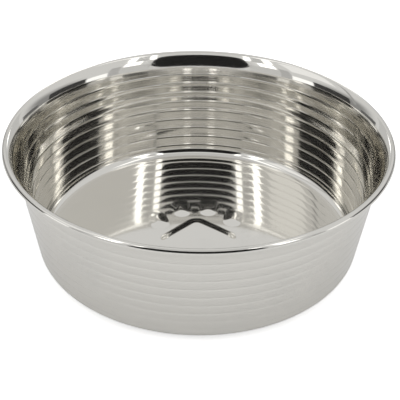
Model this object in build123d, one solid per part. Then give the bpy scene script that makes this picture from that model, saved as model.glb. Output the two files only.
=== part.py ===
"""Stainless steel pet bowl: one pressed and rolled sheet standing on a bonded rubber ring."""

import os
from math import cos, radians, sin, tan

from build123d import *

# Driving dimensions, in millimetres and degrees

# Steel bowl
rim_diameter = 214.0  # over the outer edge of the lip
bowl_height = 68.0  # underside of the steel to the top of the lip
wall_lean = 8.86  # tilt of the wall from upright
sheet = 0.9  # thickness of the steel
corner_radius = 6.9  # outside, between base and wall

# Rolled lip
lip_overhang = 5.3  # rim edge past the line of the wall
sweep_break = 18.0  # slope where the long sweep of the upper wall passes into the flare
flare_radius = 14.0  # on the inside
lip_break = 46.0  # slope where the flare passes into the tight crown
crown_radius = 1.8  # inside half of the lip's top
edge_radius = 1.9  # outside half, turned down at the rim
edge_skirt = 0.2  # upright strip left below the turned edge

# Fine beads rolled through the wall, proud on the inside and sunk on the outside
bead_pitch = 5.95  # up the wall
bead_start = 7.4  # middle of the lowest bead above the underside
bead_width = 2.4
bead_depth = 0.08
plain_band = 12.4  # smooth stretch left between the top bead and the rim

# Paw print raised in the floor, each lobe the hull of a few circles
emboss_height = 0.9
emboss_slope = 12.5  # of the lobes' sides, from level
emboss_round = 5.0  # where the sides pass into the lobes' tops
toe_tip_radius = 4.7
toe_heel_radius = 5.2
toe_length = 6.0  # between the two circles of a toe
inner_toe = (8.0, 23.6)  # heel of the right inner toe from the bowl's axis
inner_toe_splay = 4.0  # tilt away from the middle
outer_toe = (21.6, 12.6)
outer_toe_splay = 16.0
pad_top_radius = 7.4
pad_top = (0.0, 7.6)
pad_foot_radius = 7.5
pad_foot = (14.5, -5.5)

# Rubber ring bonded under the base
ring_thickness = 2.0
ring_width = 12.0
ring_inset = 2.6  # from the start of the base corner
ring_edge_radius = 0.6
grip_grooves = 2
grip_groove_width = 1.4
grip_groove_depth = 0.6

# Derived values
rim_radius = rim_diameter / 2
underside = ring_thickness
floor_level = underside + sheet
rim_level = underside + bowl_height
lean = radians(wall_lean)
wall_top_radius = rim_radius - lip_overhang
base_radius = wall_top_radius - bowl_height * tan(lean)
wall_out = Vector(cos(lean), -sin(lean))
wall_up = Vector(sin(lean), cos(lean))
corner_centre_radius = base_radius - corner_radius * (1 - sin(lean)) / cos(lean)
bead_count = int((bowl_height - plain_band - bead_start) / bead_pitch + 1.01)


def arc_reach(start, end):
    """How far an arc of radius 1 leaves the wall's line between two slopes."""
    return cos(start) - cos(end) - tan(lean) * (sin(end) - sin(start))


def sweep_radius():
    """Radius, on the inside, of the long sweep that fills the room left between wall and flare."""
    bend, slope = radians(sweep_break), radians(lip_break)
    room = rim_radius - edge_radius - crown_radius * cos(slope)
    room -= wall_top_radius - sheet / cos(lean)
    room += tan(lean) * crown_radius * (1 - sin(slope))
    return (room - flare_radius * arc_reach(bend, slope)) / arc_reach(lean, bend)


def wall_point(height, depth):
    """Point of the profile on the wall's line, sunk by depth below the outer face."""
    radius = base_radius + height * tan(lean)
    return Vector(radius, underside + height) - wall_out * depth


def bead_ends(depth):
    """Lower and upper end of each bead, in a face of the sheet sunk by depth."""
    half = bead_width / 2 * cos(lean)
    middles = [bead_start + bead_pitch * cos(lean) * i for i in range(bead_count)]
    return [(wall_point(m - half, depth), wall_point(m + half, depth)) for m in middles]


def sheet_face(depth):
    """Edges of one face of the sheet from the axis to the rim, sunk by depth below the outside."""
    outward = sheet - depth
    bend, slope = radians(sweep_break), radians(lip_break)
    drop = sweep_radius() * (sin(bend) - sin(lean))
    drop += flare_radius * (sin(slope) - sin(bend)) + crown_radius * (1 - sin(slope))
    wall_end = wall_point(bowl_height - drop - sheet * sin(lean), depth)
    corner = CenterArc(
        (corner_centre_radius, underside + corner_radius),
        corner_radius - depth,
        -90,
        90 - wall_lean,
    )
    floor = Line((0, underside + depth), corner @ 0)
    ends = bead_ends(depth)
    beads = [SagittaArc(low, high, bead_depth) for low, high in ends]
    lows = [corner @ 1, *(high for _, high in ends)]
    highs = [*(low for low, _ in ends), wall_end]
    bands = [Line(low, high) for low, high in zip(lows, highs)]
    sweep = JernArc(wall_end, wall_up, sweep_radius() - outward, wall_lean - sweep_break)
    flare = JernArc(sweep @ 1, sweep % 1, flare_radius - outward, sweep_break - lip_break)
    crown = JernArc(flare @ 1, flare % 1, crown_radius - outward, lip_break - 90)
    turn = JernArc(crown @ 1, crown % 1, edge_radius - outward, -90)
    skirt = Line(turn @ 1, turn @ 1 - Vector(0, edge_skirt))
    return [floor, corner, *bands, *beads, sweep, flare, crown, turn, skirt]


def sheet_profile():
    """Half section of the steel."""
    inside = sheet_face(sheet)
    outside = sheet_face(0)
    axis_edge = Line(outside[0] @ 0, inside[0] @ 0)
    cut_edge = Line(inside[-1] @ 1, outside[-1] @ 1)
    return make_face([*inside, cut_edge, *outside, axis_edge])


def lobe(circles):
    """Low mound with sloping sides over the hull of the circles, each (x, y, radius)."""
    side_run = emboss_height / tan(radians(emboss_slope))
    outlines = []
    for level, shrink in ((0, 0), (emboss_height, side_run)):
        discs = [Pos(x, y) * Circle(radius - shrink) for x, y, radius in circles]
        outlines.append(Pos(0, 0, level) * make_hull([e for d in discs for e in d.edges()]))
    mound = loft(outlines, ruled=True)
    return fillet(mound.edges().group_by(Axis.Z)[-1], emboss_round)


def toe(heel, splay, side):
    """Egg-shaped toe from its heel point, tilted outwards on the given side."""
    tilt = radians(splay)
    tip = (heel[0] + toe_length * sin(tilt), heel[1] + toe_length * cos(tilt))
    return lobe([(side * heel[0], heel[1], toe_heel_radius), (side * tip[0], tip[1], toe_tip_radius)])


def paw():
    """Mounds of the paw print, standing on the plane of their feet."""
    mounds = [
        toe(heel, splay, side)
        for heel, splay in ((inner_toe, inner_toe_splay), (outer_toe, outer_toe_splay))
        for side in (-1, 1)
    ]
    feet = [(side * pad_foot[0], pad_foot[1], pad_foot_radius) for side in (-1, 1)]
    mounds.append(lobe([(*pad_top, pad_top_radius), *feet]))
    return mounds


def bowl():
    """The pressed steel bowl, with the paw print raised inside and hollow below."""
    body = revolve(Plane.XZ * sheet_profile(), Axis.Z)
    for mound in paw():
        body += Pos(0, 0, floor_level) * mound
        body -= Pos(0, 0, underside) * mound
    return body


def non_slip_ring():
    """Flat rubber ring with rounded edges and grip grooves on its underside."""
    outer = corner_centre_radius - ring_inset
    middle = outer - ring_width / 2
    section = Pos(middle, ring_thickness / 2) * Rectangle(ring_width, ring_thickness)
    section = fillet(section.vertices().group_by(Axis.Y)[0], ring_edge_radius)
    step = ring_width / (grip_grooves + 1)
    for i in range(grip_grooves):
        centre = outer - ring_width + step * (i + 1)
        section -= Pos(centre, 0) * Rectangle(grip_groove_width, 2 * grip_groove_depth)
    return revolve(Plane.XZ * section, Axis.Z)


os.makedirs("parts", exist_ok=True)
for name, shape in (("bowl", bowl()), ("non_slip_ring", non_slip_ring())):
    export_step(shape, f"parts/{name}.step")
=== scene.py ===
"""Polished steel pet bowl on its rubber ring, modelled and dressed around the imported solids."""

import logging
import math
from dataclasses import dataclass, replace
from enum import Enum
from itertools import pairwise
from typing import Any, Mapping, Optional, Sequence, Union

import bpy
import numpy as np
from mathutils import Matrix, Vector


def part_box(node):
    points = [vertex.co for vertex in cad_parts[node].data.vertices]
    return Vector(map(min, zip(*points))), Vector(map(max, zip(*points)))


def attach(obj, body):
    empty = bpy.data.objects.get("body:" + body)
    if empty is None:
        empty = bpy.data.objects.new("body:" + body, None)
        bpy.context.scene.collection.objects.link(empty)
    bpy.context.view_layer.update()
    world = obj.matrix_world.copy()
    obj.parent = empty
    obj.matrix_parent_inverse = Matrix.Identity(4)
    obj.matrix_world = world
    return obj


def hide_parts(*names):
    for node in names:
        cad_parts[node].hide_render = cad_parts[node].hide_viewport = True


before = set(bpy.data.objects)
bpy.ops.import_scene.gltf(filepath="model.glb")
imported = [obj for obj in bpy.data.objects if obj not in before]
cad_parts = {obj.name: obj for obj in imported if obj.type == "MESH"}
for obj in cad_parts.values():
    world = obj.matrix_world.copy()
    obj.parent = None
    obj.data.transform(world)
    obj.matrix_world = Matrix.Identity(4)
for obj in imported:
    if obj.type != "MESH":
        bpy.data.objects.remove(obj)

MM = 0.001
VIEW_TURN = math.radians(-4.5)  # the camera and the tent, about the bowl
MIRROR_BOUNCES = 12  # Blender's own 4 end in black along the wall

log = logging.getLogger("pet_bowl")

Station = tuple[float, float]
Point = tuple[float, float]
Range = tuple[float, float]
Triple = tuple[float, float, float]
Colour = tuple[float, float, float, float]
Operand = Union["Shade", float]


class Side(Enum):
    """Left or right of the bowl, as the camera sees it."""

    LEFT = -1
    RIGHT = 1


@dataclass(frozen=True)
class Shade:
    """A value socket that adds Math nodes when it is used in an expression."""

    graph: "Graph"
    socket: bpy.types.NodeSocket

    def maths(self, operation: str, first: Operand, second: Operand = 0.0) -> "Shade":
        """Add one Math node.

        Args:
            operation: Name of the Math node's operation.
            first: First operand.
            second: Second operand, where the operation has one.

        Returns:
            The node's result.
        """
        node = self.graph.node("ShaderNodeMath", {"operation": operation}, {0: first, 1: second})
        return Shade(self.graph, node.outputs[0])

    def __add__(self, other: Operand) -> "Shade":
        """Sum."""
        return self.maths("ADD", self, other)

    def __radd__(self, other: Operand) -> "Shade":
        """Sum, with the number first."""
        return self.maths("ADD", other, self)

    def __sub__(self, other: Operand) -> "Shade":
        """Difference."""
        return self.maths("SUBTRACT", self, other)

    def __rsub__(self, other: Operand) -> "Shade":
        """Difference, with the number first."""
        return self.maths("SUBTRACT", other, self)

    def __mul__(self, other: Operand) -> "Shade":
        """Product."""
        return self.maths("MULTIPLY", self, other)

    def __rmul__(self, other: Operand) -> "Shade":
        """Product, with the number first."""
        return self.maths("MULTIPLY", other, self)

    def __truediv__(self, other: Operand) -> "Shade":
        """Quotient."""
        return self.maths("DIVIDE", self, other)

    def __pow__(self, other: Operand) -> "Shade":
        """Power."""
        return self.maths("POWER", self, other)

    def __abs__(self) -> "Shade":
        """Size without sign."""
        return self.maths("ABSOLUTE", self)


class Graph:
    """The node tree of one material or world."""

    def __init__(self, tree: bpy.types.NodeTree) -> None:
        """Start from an empty tree."""
        self.tree = tree
        self.tree.nodes.clear()

    def node(
        self,
        kind: str,
        settings: Optional[Mapping[str, Any]] = None,
        inputs: Optional[Mapping[Union[str, int], Any]] = None,
    ) -> bpy.types.Node:
        """Add a node, set it up and feed it.

        Args:
            kind: Blender's name for the node type.
            settings: Attributes of the node, set before it is fed.
            inputs: Values, sockets or shades by the socket's name or number.

        Returns:
            The new node.
        """
        made = self.tree.nodes.new(kind)
        for name, setting in (settings or {}).items():
            setattr(made, name, setting)
        for key, value in (inputs or {}).items():
            source = value.socket if isinstance(value, Shade) else value
            if isinstance(source, bpy.types.NodeSocket):
                self.tree.links.new(source, made.inputs[key])
            else:
                made.inputs[key].default_value = source
        return made

    def shade(self, node: bpy.types.Node, output: Union[str, int] = 0) -> Shade:
        """Wrap one output of a node for use in expressions."""
        return Shade(self, node.outputs[output])

    def place(self) -> tuple[Shade, Shade, Shade, bpy.types.NodeSocket]:
        """Read the point on the surface.

        Returns:
            The x, y and z shades and the whole vector's socket, in metres.
        """
        vector = self.node("ShaderNodeTexCoord").outputs["Object"]
        parts = self.node("ShaderNodeSeparateXYZ", inputs={0: vector})
        x, y, z = (self.shade(parts, i) for i in range(3))
        return x, y, z, vector

    def vector(self, x: Operand, y: Operand, z: Operand) -> bpy.types.NodeSocket:
        """Join three values into a vector."""
        return self.node("ShaderNodeCombineXYZ", inputs={0: x, 1: y, 2: z}).outputs[0]

    def noise(self, vector: bpy.types.NodeSocket, scale: float, detail: float = 2.0) -> Shade:
        """Soft random pattern.

        Args:
            vector: Where to read it.
            scale: How many features fit in one unit of the vector.
            detail: How many finer layers it has.

        Returns:
            Values around a half.
        """
        inputs = {"Vector": vector, "Scale": scale, "Detail": detail}
        return self.shade(self.node("ShaderNodeTexNoise", inputs=inputs), "Fac")

    def band(self, value: Shade, low: float, high: float) -> Shade:
        """Fade smoothly between two values and hold outside them.

        Args:
            value: What the fade follows.
            low: Where it is 0.
            high: Where it is 1.

        Returns:
            The fade.
        """
        inputs = {"Value": value, "From Min": low, "From Max": high}
        settings = {"interpolation_type": "SMOOTHSTEP"}
        return self.shade(self.node("ShaderNodeMapRange", settings, inputs), 0)

    def bump(self, height: Shade, distance: float, strength: float) -> bpy.types.NodeSocket:
        """Turn a height into a normal."""
        inputs = {"Strength": strength, "Distance": distance, "Height": height}
        return self.node("ShaderNodeBump", inputs=inputs).outputs[0]

    def blend(self, factor: Operand, first: Colour, second: Colour) -> bpy.types.NodeSocket:
        """Mix two colours."""
        settings = {"data_type": "RGBA"}
        # The colour sockets share their names with others, so they go by number
        return self.node("ShaderNodeMix", settings, {0: factor, 6: first, 7: second}).outputs[2]


def new_material(name: str) -> tuple[bpy.types.Material, Graph]:
    """Make an empty material.

    Args:
        name: Name of the material.

    Returns:
        The material and its graph.
    """
    material = bpy.data.materials.new(name)
    material.use_nodes = True
    return material, Graph(material.node_tree)


@dataclass(frozen=True)
class PolishedSteel:
    """Mirror-polished stainless sheet with turning marks, hairline scratches and handling haze."""

    tint: Colour = (0.765, 0.75, 0.71, 1.0)
    hazed_tint: Colour = (0.745, 0.732, 0.695, 1.0)
    polish_roughness: float = 0.05
    haze_roughness: float = 0.03
    scratch_roughness: float = 0.06
    scatter: float = 0.012  # share of light that the metal scatters as paint does
    mark_roughness: float = 0.012
    marks_per_metre: float = 2600.0
    least_square: float = 1e-9  # keeps the division whole on the axis
    mark_relief: float = 0.08
    scratch_turns: tuple[Triple, ...] = (  # in radians
        (0.0, 0.4, 0.0),
        (0.7, 2.3, 2.3),
        (1.4, 4.2, 4.6),
    )
    scratch_scale: float = 60.0
    scratch_stretch: Triple = (1.0, 0.045, 0.18)
    scratch_width: float = 0.012
    scratch_relief: float = 0.5
    scratch_patch_scales: Triple = (35.0, 44.0, 53.0)
    scratch_patch_range: Range = (0.55, 0.7)
    haze_scale: float = 22.0
    haze_range: Range = (0.52, 0.72)
    relief: float = 0.012 * MM
    relief_strength: float = 0.5

    def material(self) -> bpy.types.Material:
        """Build the material.

        Returns:
            The material.
        """
        material, graph = new_material("polished_steel")
        x, y, z, vector = graph.place()
        radius = (x * x + y * y + self.least_square) ** 0.5
        around = graph.vector(x / radius, y / radius, (radius + z) * self.marks_per_metre)
        marks = graph.noise(around, scale=1.0, detail=3.0)
        haze = graph.band(graph.noise(vector, self.haze_scale, detail=4.0), *self.haze_range)
        scratches = self._scratches(graph, vector)
        roughness = (
            self.polish_roughness
            + marks * self.mark_roughness
            + haze * self.haze_roughness
            + scratches * self.scratch_roughness
        )
        height = marks * self.mark_relief - scratches * self.scratch_relief
        bump = graph.bump(height, self.relief, self.relief_strength)
        shader = graph.node(
            "ShaderNodeBsdfPrincipled",
            inputs={
                "Base Color": graph.blend(haze, self.tint, self.hazed_tint),
                "Metallic": 1.0 - self.scatter,
                "Roughness": roughness,
                "Normal": bump,
            },
        )
        graph.node("ShaderNodeOutputMaterial", inputs={"Surface": shader.outputs[0]})
        return material

    def _scratches(self, graph: Graph, vector: bpy.types.NodeSocket) -> Shade:
        """Sparse hairlines in a few directions.

        Args:
            graph: Graph of the material.
            vector: The point on the surface.

        Returns:
            1 on a scratch and 0 elsewhere.
        """
        total: Operand = 0.0
        for turn, patch_scale in zip(self.scratch_turns, self.scratch_patch_scales):
            settings = {"vector_type": "TEXTURE"}
            inputs = {"Vector": vector, "Rotation": turn, "Scale": self.scratch_stretch}
            turned = graph.node("ShaderNodeMapping", settings, inputs).outputs[0]
            lines = abs(graph.noise(turned, self.scratch_scale, detail=1.0) - 0.5)
            hair = 1.0 - graph.band(lines, 0.0, self.scratch_width)
            spread = graph.noise(vector, patch_scale, detail=1.0)
            patch = graph.band(spread, *self.scratch_patch_range)
            total = total + hair * patch
        return total


@dataclass(frozen=True)
class MouldedRubber:
    """Matt black rubber with moulded grain and a little floor dust."""

    colour: Colour = (0.022, 0.022, 0.024, 1.0)
    dusty_colour: Colour = (0.10, 0.095, 0.09, 1.0)
    roughness: float = 0.62
    grain_scale: float = 2400.0
    grain_roughness: float = 0.2
    dust_scale: float = 160.0
    dust_range: Range = (0.55, 0.85)
    dust_roughness: float = 0.12
    dust_cover: float = 0.6
    gloss: float = 0.4
    relief: float = 0.03 * MM
    relief_strength: float = 0.6

    def material(self) -> bpy.types.Material:
        """Build the material.

        Returns:
            The material.
        """
        material, graph = new_material("black_rubber")
        _, _, _, vector = graph.place()
        grain = graph.noise(vector, self.grain_scale, detail=3.0)
        dust = graph.band(graph.noise(vector, self.dust_scale, detail=5.0), *self.dust_range)
        roughness = self.roughness + grain * self.grain_roughness + dust * self.dust_roughness
        cover = dust * self.dust_cover
        shader = graph.node(
            "ShaderNodeBsdfPrincipled",
            inputs={
                "Base Color": graph.blend(cover, self.colour, self.dusty_colour),
                "Roughness": roughness,
                "Specular IOR Level": self.gloss,
                "Normal": graph.bump(grain, self.relief, self.relief_strength),
            },
        )
        graph.node("ShaderNodeOutputMaterial", inputs={"Surface": shader.outputs[0]})
        return material


class Bench:
    """Small operator steps that every piece needs."""

    @staticmethod
    def deselect() -> None:
        """Leave nothing selected in object mode."""
        if bpy.context.mode != "OBJECT":
            bpy.ops.object.mode_set(mode="OBJECT")
        bpy.ops.object.select_all(action="DESELECT")

    @staticmethod
    def pick(piece: bpy.types.Object) -> None:
        """Make the piece the only selected and the active one.

        Args:
            piece: Piece to pick.
        """
        Bench.deselect()
        piece.select_set(True)
        bpy.context.view_layer.objects.active = piece

    @staticmethod
    def apply(piece: bpy.types.Object, kind: str, **settings: Any) -> None:
        """Add a modifier and apply it.

        Args:
            piece: Piece to change.
            kind: Blender's name for the modifier type.
            settings: Attributes of the modifier.
        """
        Bench.pick(piece)
        modifier = piece.modifiers.new(kind.lower(), kind)
        for name, setting in settings.items():
            setattr(modifier, name, setting)
        bpy.ops.object.modifier_apply(modifier=modifier.name)

    @staticmethod
    def finish(piece: bpy.types.Object, material: bpy.types.Material, sharp: float) -> None:
        """Shade the piece smooth up to an angle and give it its material.

        Args:
            piece: Piece to finish.
            material: Its material.
            sharp: Angle past which an edge stays sharp.
        """
        Bench.pick(piece)
        bpy.ops.object.shade_smooth_by_angle(angle=sharp)
        piece.data.materials.clear()
        piece.data.materials.append(material)


@dataclass(frozen=True)
class Lathe:
    """Turns a half section by drawing a ring of edges through its stations."""

    segments: int
    merge_distance: float = 0.001 * MM

    def turn(self, name: str, stations: Sequence[Station], centre_filled: bool) -> bpy.types.Object:
        """Make the turned surface.

        Args:
            name: Name of the new piece.
            stations: Radius and height of each ring, in metres.
            centre_filled: Whether the first ring is closed by a disc.

        Returns:
            The piece, with all its faces on the same side of the section.
        """
        Bench.deselect()
        first_radius, first_height = stations[0]
        bpy.ops.mesh.primitive_circle_add(
            vertices=self.segments,
            radius=first_radius,
            fill_type="TRIFAN" if centre_filled else "NOTHING",
            location=(0.0, 0.0, first_height),
        )
        piece = bpy.context.active_object
        piece.name = name
        piece.data.name = name
        bpy.ops.object.transform_apply(location=True, rotation=True, scale=True)
        bpy.ops.object.mode_set(mode="EDIT")
        bpy.ops.mesh.select_mode(type="EDGE")
        bpy.ops.mesh.select_all(action="SELECT")
        if centre_filled:
            bpy.ops.mesh.region_to_loop()
        for (radius, height), (next_radius, next_height) in pairwise(stations):
            rise = (0.0, 0.0, next_height - height)
            bpy.ops.mesh.extrude_edges_move(TRANSFORM_OT_translate={"value": rise})
            grow = next_radius / radius
            bpy.ops.transform.resize(value=(grow, grow, 1.0), center_override=(0.0, 0.0, 0.0))
        bpy.ops.mesh.select_all(action="SELECT")
        bpy.ops.mesh.remove_doubles(threshold=self.merge_distance)
        bpy.ops.mesh.normals_make_consistent(inside=False)
        bpy.ops.object.mode_set(mode="OBJECT")
        return piece

    @staticmethod
    def arc(centre: Station, radius: float, start: float, end: float, steps: int) -> list[Station]:
        """Stations along an arc of the section, both ends included.

        Args:
            centre: Radius and height of the arc's centre.
            radius: Radius of the arc.
            start: Angle of its first point, from the outward direction.
            end: Angle of its last point.
            steps: Number of equal steps.

        Returns:
            The stations in order.
        """
        angles = [start + (end - start) * i / steps for i in range(steps + 1)]
        return [(centre[0] + radius * math.cos(a), centre[1] + radius * math.sin(a)) for a in angles]


@dataclass(frozen=True)
class Lobe:
    """One raised lobe of the paw print: the hull of a few circles, each (x, y, radius)."""

    circles: tuple[Triple, ...]
    directions: int = 180

    def inset(self, points: np.ndarray) -> np.ndarray:
        """How far points lie inside the lobe's outline.

        Args:
            points: Array of x and y rows, in metres.

        Returns:
            Distances, negative outside.
        """
        turn = np.linspace(0.0, 2.0 * math.pi, self.directions, endpoint=False)
        ways = np.stack([np.cos(turn), np.sin(turn)])
        circles = np.array(self.circles)
        reach = (circles[:, :2] @ ways + circles[:, 2:]).max(axis=0)
        return (reach - points @ ways).min(axis=1)


@dataclass(frozen=True)
class PawPrint:
    """Paw print pressed up in the floor: four toes and a pad."""

    height: float = 0.9 * MM
    side_slope: float = math.radians(12.5)
    softness: float = 1.2 * MM
    toe_tip_radius: float = 4.7 * MM
    toe_heel_radius: float = 5.2 * MM
    toe_length: float = 6.0 * MM
    inner_toe: Point = (8.0 * MM, 23.6 * MM)
    inner_toe_splay: float = math.radians(4.0)
    outer_toe: Point = (21.6 * MM, 12.6 * MM)
    outer_toe_splay: float = math.radians(16.0)
    pad_top: Triple = (0.0, 7.6 * MM, 7.4 * MM)
    pad_foot: Triple = (14.5 * MM, -5.5 * MM, 7.5 * MM)

    @property
    def reach(self) -> float:
        """Radius about the bowl's axis that holds the whole print."""
        tip = self.toe_length + self.toe_tip_radius + self.softness
        return max(math.hypot(*self.inner_toe), math.hypot(*self.outer_toe)) + tip

    def lobes(self) -> list[Lobe]:
        """The lobes of the print.

        Returns:
            Four toes and the pad.
        """
        made = []
        toes = ((self.inner_toe, self.inner_toe_splay), (self.outer_toe, self.outer_toe_splay))
        for (x, y), splay in toes:
            tip_x = x + self.toe_length * math.sin(splay)
            tip_y = y + self.toe_length * math.cos(splay)
            for side in Side:
                heel = (side.value * x, y, self.toe_heel_radius)
                made.append(Lobe((heel, (side.value * tip_x, tip_y, self.toe_tip_radius))))
        foot_x, foot_y, foot_radius = self.pad_foot
        feet = [(side.value * foot_x, foot_y, foot_radius) for side in Side]
        made.append(Lobe((self.pad_top, *feet)))
        return made

    def rise(self, points: np.ndarray) -> np.ndarray:
        """Height of the print over the plain floor.

        Args:
            points: Array of x and y rows, in metres.

        Returns:
            The rise at each point.
        """
        run = self.height / math.tan(self.side_slope) + self.softness
        best = np.zeros(len(points))
        for lobe in self.lobes():
            part = np.clip((lobe.inset(points) + self.softness / 2) / run, 0.0, 1.0)
            best = np.maximum(best, part * part * (3.0 - 2.0 * part))
        return best * self.height


@dataclass
class SteelBowl:
    """The pressed bowl: flat floor, ribbed tapering wall, flared and rolled lip."""

    rim_radius: float
    underside: float
    rim_level: float
    paw: PawPrint
    finish: PolishedSteel
    wall_lean: float = math.radians(8.86)
    sheet: float = 0.9 * MM
    corner_radius: float = 6.9 * MM
    lip_overhang: float = 5.3 * MM  # rim edge past the line of the wall
    sweep_break: float = math.radians(18.0)  # slope between the long sweep and the flare
    flare_radius: float = 14.0 * MM
    lip_break: float = math.radians(46.0)  # slope between the flare and the crown
    crown_radius: float = 1.8 * MM  # inside half of the lip's top
    edge_radius: float = 1.9 * MM  # outside half, turned down at the rim
    edge_skirt: float = 0.2 * MM  # upright strip below the turned edge
    bead_pitch: float = 5.95 * MM
    bead_start: float = 7.4 * MM  # lowest bead above the underside
    bead_depth: float = 0.06 * MM
    bead_width: float = 1.6 * MM
    band_bulge: float = 0.065 * MM  # barrel of the bands between the beads
    groove_gain: float = 0.8  # how much deeper the outside is sunk than the inside is proud
    plain_band: float = 12.4 * MM  # smooth stretch under the rim
    count_slack: float = 0.01  # keeps a bead that just fits
    segments: int = 168
    least_step: float = 0.15 * MM  # between the wall and the arcs at its ends
    floor_step: float = 0.6 * MM
    plain_floor_steps: int = 8
    corner_steps: int = 10
    bead_shares: tuple[float, ...] = (0.0, 0.2, 0.4, 0.6, 0.8, 1.0)  # of a bead's half width
    band_shares: tuple[float, ...] = (0.42, 0.6, 0.8)  # of half the pitch
    lip_steps: tuple[int, int, int] = (8, 16, 10)  # on the crown, the flare and the sweep
    edge_steps: int = 10
    sharp_angle: float = math.radians(40.0)

    @property
    def height(self) -> float:
        """Height of the steel."""
        return self.rim_level - self.underside

    @property
    def wall_top_radius(self) -> float:
        """Radius of the wall's outer line, carried up to the rim."""
        return self.rim_radius - self.lip_overhang

    @property
    def base_radius(self) -> float:
        """Radius of the wall's outer line, carried down to the underside."""
        return self.wall_top_radius - self.height * math.tan(self.wall_lean)

    @property
    def corner_centre(self) -> Station:
        """Centre of the round corner between base and wall.

        Returns:
            Its radius and height.
        """
        lean = self.wall_lean
        back = self.corner_radius * (1.0 - math.sin(lean)) / math.cos(lean)
        return self.base_radius - back, self.underside + self.corner_radius

    @property
    def crown_centre(self) -> Station:
        """Centre of the inside half of the lip's top."""
        return self.rim_radius - self.edge_radius, self.rim_level - self.crown_radius

    def arc_reach(self, start: float, end: float) -> float:
        """How far an arc of radius 1 leaves the wall's line between two slopes."""
        drop = math.sin(end) - math.sin(start)
        return math.cos(start) - math.cos(end) - math.tan(self.wall_lean) * drop

    @property
    def sweep_radius(self) -> float:
        """Radius of the long sweep that fills the room left between the wall and the flare.

        Returns:
            The radius, on the inside.
        """
        slope = self.lip_break
        inner_wall = self.wall_top_radius - self.sheet / math.cos(self.wall_lean)
        room = self.crown_centre[0] - self.crown_radius * math.cos(slope) - inner_wall
        room += math.tan(self.wall_lean) * self.crown_radius * (1.0 - math.sin(slope))
        room -= self.flare_radius * self.arc_reach(self.sweep_break, slope)
        return room / self.arc_reach(self.wall_lean, self.sweep_break)

    def wall_station(self, along: float, depth: float) -> Station:
        """Point of the wall's section.

        Args:
            along: Distance up the wall's outer line from the underside.
            depth: Distance in from that line.

        Returns:
            Its radius and height.
        """
        sine, cosine = math.sin(self.wall_lean), math.cos(self.wall_lean)
        radius = self.base_radius + along * sine - depth * cosine
        return radius, self.underside + along * cosine + depth * sine

    def wall_stations(self) -> list[Station]:
        """Stations of the wall's inside: its beads and the slightly barrelled bands beside them.

        Returns:
            The stations in order.
        """
        cosine = math.cos(self.wall_lean)
        room = self.height - self.plain_band - self.bead_start
        count = int(room / self.bead_pitch + 1 + self.count_slack)
        half = self.bead_pitch / 2
        near = [self.bead_width / 2 * share for share in self.bead_shares]
        far = [half * share for share in self.band_shares]
        offsets = sorted({sign * offset for sign in (-1, 1) for offset in near + far})
        made = []
        for bead in range(count):
            middle = self.bead_start / cosine + self.bead_pitch * bead
            for offset in offsets:
                sink = self.band_bulge * (1.0 - abs(offset) / half) ** 2
                if abs(offset) < self.bead_width / 2:
                    sink += self.bead_depth * math.cos(math.pi * offset / self.bead_width) ** 2
                made.append(self.wall_station(middle + offset, self.sheet + sink))
        return made

    def stations(self) -> list[Station]:
        """Stations of the whole inside, from the axis to the rim's cut edge.

        Returns:
            The stations in order.
        """
        level = self.underside + self.sheet
        fine = int(self.paw.reach / self.floor_step)
        radii = [self.floor_step * (i + 1) for i in range(fine)]
        reach = radii[-1]
        plain_step = (self.corner_centre[0] - reach) / self.plain_floor_steps
        radii += [reach + plain_step * (i + 1) for i in range(self.plain_floor_steps - 1)]
        made = [(radius, level) for radius in radii]
        inner_corner = self.corner_radius - self.sheet
        made += Lathe.arc(
            self.corner_centre, inner_corner, -math.pi / 2, -self.wall_lean, self.corner_steps
        )
        lip = self.lip_stations()
        lowest, highest = made[-1][1] + self.least_step, lip[0][1] - self.least_step
        made += [station for station in self.wall_stations() if lowest < station[1] < highest]
        return made + lip

    def lip_stations(self) -> list[Station]:
        """Stations from the wall over the sweep, the flare and the crown to the cut edge.

        Returns:
            The stations in order.
        """
        slopes = (math.pi / 2, self.lip_break, self.sweep_break, self.wall_lean)
        radii = (self.crown_radius, self.flare_radius, self.sweep_radius)
        centre, last_radius = self.crown_centre, self.crown_radius
        arcs = []
        for (upper, lower), radius, steps in zip(pairwise(slopes), radii, self.lip_steps):
            gap = radius - last_radius
            centre = (centre[0] + gap * math.cos(upper), centre[1] - gap * math.sin(upper))
            arcs.append(Lathe.arc(centre, radius, math.pi - lower, math.pi - upper, steps))
            last_radius = radius
        made = [station for arc in reversed(arcs) for station in arc[:-1]]
        edge_centre = (self.crown_centre[0], self.rim_level - self.edge_radius)
        made += Lathe.arc(edge_centre, self.edge_radius, math.pi / 2, 0.0, self.edge_steps)
        made.append((self.rim_radius, edge_centre[1] - self.edge_skirt))
        return made

    def build(self) -> bpy.types.Object:
        """Model the bowl and dress it.

        Returns:
            The finished piece.
        """
        piece = Lathe(self.segments).turn("steel_bowl", self.stations(), centre_filled=True)
        self._face_up(piece)
        self._emboss(piece)
        Bench.apply(
            piece,
            "SOLIDIFY",
            thickness=self.sheet,
            offset=-1.0,
            use_even_offset=True,
            use_quality_normals=True,
            vertex_group=self._thinned(piece),
        )
        Bench.finish(piece, self.finish.material(), self.sharp_angle)
        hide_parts("bowl")
        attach(piece, "root")
        return piece

    @staticmethod
    def _face_up(piece: bpy.types.Object) -> None:
        """Point the open surface's faces to the inside of the bowl.

        Args:
            piece: The bowl's inside, before it has a thickness.
        """
        if piece.data.polygons[0].normal.z > 0.0:
            return
        Bench.pick(piece)
        bpy.ops.object.mode_set(mode="EDIT")
        bpy.ops.mesh.select_all(action="SELECT")
        bpy.ops.mesh.flip_normals()
        bpy.ops.object.mode_set(mode="OBJECT")

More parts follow.
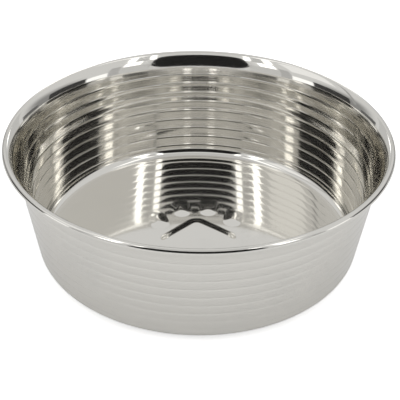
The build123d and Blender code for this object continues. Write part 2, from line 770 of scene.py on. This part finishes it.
    @staticmethod
    def _points(piece: bpy.types.Object) -> np.ndarray:
        """Read the piece's points.

        Args:
            piece: Piece to read.

        Returns:
            Rows of x, y and z.
        """
        points = np.empty(len(piece.data.vertices) * 3)
        piece.data.vertices.foreach_get("co", points)
        return points.reshape(-1, 3)

    def _thinned(self, piece: bpy.types.Object) -> str:
        """Weigh the sheet's thickness, which the rolling has squeezed behind each bead.

        Args:
            piece: The bowl's inside, before it has a thickness.

        Returns:
            Name of the vertex group with the weights.
        """
        x, y, z = self._points(piece).T
        plain = self.base_radius + (z - self.underside) * math.tan(self.wall_lean)
        proud = (plain - np.hypot(x, y)) * math.cos(self.wall_lean) - self.sheet
        on_wall = (z > self.underside + self.corner_radius) & (z < self.lip_stations()[0][1])
        weights = 1.0 - on_wall * self.groove_gain * np.maximum(proud, 0.0) / self.sheet
        group = piece.vertex_groups.new(name="thickness")
        for weight in np.unique(weights.round(3)):
            chosen = np.flatnonzero(weights.round(3) == weight)
            group.add(chosen.tolist(), float(weight), "REPLACE")
        return group.name

    def _emboss(self, piece: bpy.types.Object) -> None:
        """Raise the paw print in the floor.

        Args:
            piece: The bowl's inside, before it has a thickness.
        """
        points = self._points(piece)
        on_floor = np.hypot(points[:, 0], points[:, 1]) < self.corner_centre[0]
        points[on_floor, 2] += self.paw.rise(points[on_floor, :2])
        piece.data.vertices.foreach_set("co", points.ravel())
        piece.data.update()


@dataclass
class NonSlipRing:
    """The rubber ring under the base, with rounded edges and grip grooves."""

    outer_radius: float
    thickness: float
    finish: MouldedRubber
    width: float = 12.0 * MM
    edge_radius: float = 0.6 * MM
    grooves: int = 2
    groove_width: float = 1.4 * MM
    groove_depth: float = 0.6 * MM
    edge_steps: int = 5
    segments: int = 160
    sharp_angle: float = math.radians(50.0)

    def stations(self) -> list[Station]:
        """Stations once round the ring's section, the first one repeated at the end.

        Returns:
            The stations in order.
        """
        inner = self.outer_radius - self.width
        edge = self.edge_radius
        made = [(inner, self.thickness), (self.outer_radius, self.thickness)]
        made += Lathe.arc((self.outer_radius - edge, edge), edge, 0.0, -math.pi / 2, self.edge_steps)
        step = self.width / (self.grooves + 1)
        for i in reversed(range(self.grooves)):
            centre = inner + step * (i + 1)
            half = self.groove_width / 2
            made += [
                (centre + half, 0.0),
                (centre + half, self.groove_depth),
                (centre - half, self.groove_depth),
                (centre - half, 0.0),
            ]
        made += Lathe.arc((inner + edge, edge), edge, -math.pi / 2, -math.pi, self.edge_steps)
        made.append(made[0])
        return made

    def build(self) -> bpy.types.Object:
        """Model the ring and dress it.

        Returns:
            The finished piece.
        """
        piece = Lathe(self.segments).turn("rubber_ring", self.stations(), centre_filled=False)
        Bench.finish(piece, self.finish.material(), self.sharp_angle)
        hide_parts("non_slip_ring")
        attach(piece, "root")
        return piece


@dataclass(frozen=True)
class Panel:
    """Upright panel around the bowl, set by the directions and heights of its edges.

    Directions are in degrees from the front, growing towards the right.
    """

    name: str
    first: float
    last: float
    low: float
    high: float
    level: float
    distance: float = 0.6
    lean: float = 0.0

    def mirrored(self) -> "Panel":
        """The same panel on the other side."""
        name = f"{self.name}_left"
        return replace(self, name=name, first=-self.last, last=-self.first, lean=-self.lean)

    def corner(self, azimuth: float) -> Vector:
        """Foot of the panel in a direction."""
        turn = math.radians(azimuth)
        return Vector((math.sin(turn), -math.cos(turn), 0.0)) * self.distance

    @property
    def size(self) -> tuple[float, float]:
        """Width and height."""
        return (self.corner(self.last) - self.corner(self.first)).length, self.high - self.low

    @property
    def pose(self) -> Matrix:
        """Place and turn of the panel, with its front towards the bowl.

        Returns:
            The pose before the rig is turned.
        """
        middle = (self.corner(self.first) + self.corner(self.last)) / 2
        middle.z = (self.low + self.high) / 2
        turn = math.radians((self.first + self.last) / 2)
        upright = Matrix.Rotation(turn, 4, "Z") @ Matrix.Rotation(math.pi / 2, 4, "X")
        return Matrix.Translation(middle) @ upright @ Matrix.Rotation(-math.radians(self.lean), 4, "Z")


@dataclass
class Studio:
    """White light tent: pale table, even surround, strip lamps, and the dark openings of the tent."""

    rig: Matrix
    table_size: float = 12.0
    table_colour: Colour = (0.92, 0.92, 0.92, 1.0)
    table_lift: float = 0.55  # glow that only the camera sees
    surround_seen: float = 1.0
    surround_mirrored: float = 0.76
    surround_light: float = 0.75
    soft_box: Panel = Panel("soft_box", 42.0, 56.0, 0.36, 0.62, 2.0)
    far_strip: Panel = Panel("far_strip", 55.0, 63.0, 0.62, 1.45, 1.8, lean=9.0)
    edge_strip: Panel = Panel("edge_strip", 38.0, 44.7, 0.62, 1.45, 1.6, lean=9.0)
    front_opening: Panel = Panel("front_opening", -34.2, 34.2, 0.11, 0.94, 0.012)
    front_rounding: float = 0.18
    rounding_steps: int = 10
    tent_fold: Panel = Panel("tent_fold", 45.1, 54.7, 0.64, 1.45, 0.6, lean=9.0)
    tent_corner: Panel = Panel("tent_corner", 34.6, 56.0, 0.0, 0.35, 0.66)
    tent_seam: Panel = Panel("tent_seam", 56.5, 64.8, 0.07, 0.45, 0.52)
    side_glow: Panel = Panel("side_glow", 65.0, 81.0, 0.07, 0.24, 1.35, 0.62)
    side_opening: Panel = Panel("side_opening", 81.6, 113.0, 0.078, 0.285, 0.05, 0.64)
    side_shade: Panel = Panel("side_shade", 124.0, 141.0, 0.078, 0.18, 0.15, 0.62)
    side_veil: Panel = Panel("side_veil", 78.0, 142.0, -0.2, 0.52, 0.3, 0.85)
    veil_fade: float = 0.35
    back_strip: Panel = Panel("back_strip", 158.5, 169.5, 0.19, 0.37, 2.8, 0.7)
    strip_fade: float = 0.25
    backdrop: Panel = Panel("backdrop", 143.0, 217.0, 0.0, 0.5, 0.63, 0.9)
    left_sheet: Panel = Panel("left_sheet", -106.0, -68.0, 0.46, 0.95, 1.04)
    tent_pole: Panel = Panel("tent_pole", -120.0, -116.5, 0.2, 1.2, 0.4)
    lamp_fade: float = 0.14
    face_gain: float = 1.35  # brightness of a lamp in the metal against its light
    overhead_place: Triple = (0.445, 0.0, 1.1)
    overhead_size: tuple[float, float] = (0.17, 0.66)
    overhead_level: float = 1.15
    ceiling_level: float = 0.62
    ceiling_height: float = 1.5
    ceiling_size: tuple[float, float] = (0.84, 0.84)

    def build(self) -> None:
        """Set up the table, the surround, the lamps and the openings."""
        self._table()
        self._surround()
        for panel in (self.soft_box, self.far_strip, self.edge_strip):
            for lamp in (panel, panel.mirrored()):
                self._lamp(lamp.name, lamp.pose, lamp.size, lamp.level)
        for side in Side:
            x, y, z = self.overhead_place
            pose = Matrix.Translation((side.value * x, y, z))
            name = f"overhead_strip_{side.name.lower()}"
            self._lamp(name, pose, self.overhead_size, self.overhead_level)
        for card in (self.backdrop, self.left_sheet, self.tent_pole):
            self._card(card.name, card.pose, card.size, card.level)
        front = self.front_opening
        self._card(front.name, front.pose, front.size, front.level, rounding=self.front_rounding)
        paired = (
            (self.tent_fold, 0.0),
            (self.tent_corner, 0.0),
            (self.tent_seam, 0.0),
            (self.side_glow, 0.0),
            (self.side_opening, 0.0),
            (self.side_shade, 0.0),
            (self.side_veil, self.veil_fade),
            (self.back_strip, self.strip_fade),
        )
        for panel, fade in paired:
            for card in (panel, panel.mirrored()):
                self._card(card.name, card.pose, card.size, card.level, fade=fade)
        pose = Matrix.Translation((0.0, 0.0, self.ceiling_height))
        self._card("ceiling", pose, self.ceiling_size, self.ceiling_level)

    def _table(self) -> None:
        """Pale table under the bowl, which keeps the bowl's shadow."""
        Bench.deselect()
        bpy.ops.mesh.primitive_plane_add(size=self.table_size, location=(0.0, 0.0, 0.0))
        table = bpy.context.active_object
        table.name = "table"
        material, graph = new_material("pale_table")
        path = graph.node("ShaderNodeLightPath")
        diffuse = graph.node("ShaderNodeBsdfDiffuse", inputs={"Color": self.table_colour})
        seen = graph.shade(path, "Is Camera Ray") * self.table_lift
        glow = graph.node("ShaderNodeEmission", inputs={"Strength": seen})
        both = graph.node("ShaderNodeAddShader", inputs={0: diffuse.outputs[0], 1: glow.outputs[0]})
        graph.node("ShaderNodeOutputMaterial", inputs={"Surface": both.outputs[0]})
        table.data.materials.append(material)

    def _surround(self) -> None:
        """Even white surround, at one level for the camera and at another in the metal."""
        world = bpy.data.worlds.new("white_surround")
        bpy.context.scene.world = world
        world.use_nodes = True
        graph = Graph(world.node_tree)
        path = graph.node("ShaderNodeLightPath")
        seen = graph.shade(path, "Is Camera Ray")
        mirrored = graph.shade(path, "Is Glossy Ray")
        strength = (
            self.surround_light
            + seen * (self.surround_seen - self.surround_light)
            + mirrored * (self.surround_mirrored - self.surround_light)
        )
        light = graph.node(
            "ShaderNodeBackground", inputs={"Color": (1.0, 1.0, 1.0, 1.0), "Strength": strength}
        )
        graph.node("ShaderNodeOutputWorld", inputs={"Surface": light.outputs[0]})

    def _lamp(self, name: str, pose: Matrix, size: tuple[float, float], level: float) -> None:
        """Add a rectangular lamp and the soft face that the metal sees of it.

        Args:
            name: Name of the lamp.
            pose: Its place before the rig is turned.
            size: Its width and height.
            level: Brightness of its face, where white paper in the tent is 1.
        """
        lamp = bpy.data.lights.new(name, "AREA")
        lamp.shape = "RECTANGLE"
        lamp.size, lamp.size_y = size
        lamp.energy = level * math.pi * size[0] * size[1]
        holder = bpy.data.objects.new(name, lamp)
        bpy.context.scene.collection.objects.link(holder)
        holder.matrix_world = self.rig @ pose
        holder.visible_glossy = False
        self._card(f"{name}_face", pose, size, level * self.face_gain, fade=self.lamp_fade)

    def _card(
        self,
        name: str,
        pose: Matrix,
        size: tuple[float, float],
        level: float,
        rounding: float = 0.0,
        fade: float = 0.0,
    ) -> None:
        """Add a card that only the metal sees.

        Args:
            name: Name of the card.
            pose: Its place before the rig is turned.
            size: Its width and height.
            level: Its brightness, where white paper in the tent is 1.
            rounding: Size of its rounded corners as a share of its width and height.
            fade: Share of its width and height over which its edges pass into the surround.
        """
        Bench.deselect()
        bpy.ops.mesh.primitive_plane_add(size=1.0)
        card = bpy.context.active_object
        card.name = name
        if rounding > 0.0:
            bpy.ops.object.mode_set(mode="EDIT")
            bpy.ops.mesh.select_all(action="SELECT")
            bpy.ops.mesh.bevel(offset=rounding, segments=self.rounding_steps, affect="VERTICES")
            bpy.ops.object.mode_set(mode="OBJECT")
        card.matrix_world = self.rig @ pose @ Matrix.Diagonal((*size, 1.0, 1.0))
        material, graph = new_material(name)
        colour: Any = (level, level, level, 1.0)
        if fade > 0.0:
            x, y, _, _ = graph.place()
            inside = graph.band(0.5 - abs(x), 0.0, fade) * graph.band(0.5 - abs(y), 0.0, fade)
            around = self.surround_mirrored
            colour = graph.blend(inside, (around, around, around, 1.0), colour)
        face = graph.node("ShaderNodeEmission", inputs={"Color": colour})
        graph.node("ShaderNodeOutputMaterial", inputs={"Surface": face.outputs[0]})
        card.data.materials.append(material)
        card.visible_camera = False
        card.visible_diffuse = False
        card.visible_shadow = False
        card.visible_transmission = False


@dataclass(frozen=True)
class PhotoCamera:
    """Camera at the photograph's place, aimed from the centre of the rim."""

    rig: Matrix
    rim_level: float
    distance: float = 0.55
    elevation: float = 0.5277  # in radians, like the next three
    dip: float = 0.593  # of the aim below level
    pan: float = 0.0022
    roll: float = 0.0155
    focal_pixels: float = 1000.0
    frame_pixels: float = 400.0
    sensor_width: float = 36.0
    clip_start: float = 0.01

    def build(self) -> bpy.types.Object:
        """Make the camera and give it to the scene.

        Returns:
            The camera.
        """
        Bench.deselect()
        bpy.ops.object.camera_add()
        camera = bpy.context.active_object
        camera.data.sensor_width = self.sensor_width
        camera.data.lens = self.sensor_width * self.focal_pixels / self.frame_pixels
        camera.data.clip_start = self.clip_start
        level = math.cos(self.dip)
        forward = Vector(
            (math.sin(self.pan) * level, math.cos(self.pan) * level, -math.sin(self.dip))
        )
        right = Vector((math.cos(self.pan), -math.sin(self.pan), 0.0))
        up = right.cross(forward)
        rolled_right = math.cos(self.roll) * right + math.sin(self.roll) * up
        rolled_up = math.cos(self.roll) * up - math.sin(self.roll) * right
        axes = Matrix((rolled_right, rolled_up, -forward)).transposed().to_4x4()
        back = self.distance * math.cos(self.elevation)
        rise = self.distance * math.sin(self.elevation)
        place = Vector((0.0, -back, self.rim_level + rise))
        camera.matrix_world = self.rig @ Matrix.Translation(place) @ axes
        bpy.context.scene.camera = camera
        return camera


def main() -> None:
    """Build the pieces, the studio and the camera, and keep the sizes."""
    logging.basicConfig(level=logging.INFO, format="%(name)s: %(message)s")
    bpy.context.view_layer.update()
    bowl_low, bowl_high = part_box("bowl")
    ring_low, ring_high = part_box("non_slip_ring")
    bowl = SteelBowl(
        rim_radius=bowl_high[0],
        underside=bowl_low[2],
        rim_level=bowl_high[2],
        paw=PawPrint(),
        finish=PolishedSteel(),
    )
    ring = NonSlipRing(
        outer_radius=ring_high[0], thickness=ring_high[2] - ring_low[2], finish=MouldedRubber()
    )
    for maker in (bowl, ring):
        piece = maker.build()
        log.info("%s: %d faces", piece.name, len(piece.data.polygons))
    rig = Matrix.Rotation(VIEW_TURN, 4, "Z")
    Studio(rig).build()
    PhotoCamera(rig, rim_level=bowl_high[2]).build()
    bpy.context.scene.view_settings.view_transform = "Standard"
    bpy.context.scene.cycles.glossy_bounces = MIRROR_BOUNCES


if __name__ == "__main__":
    main()
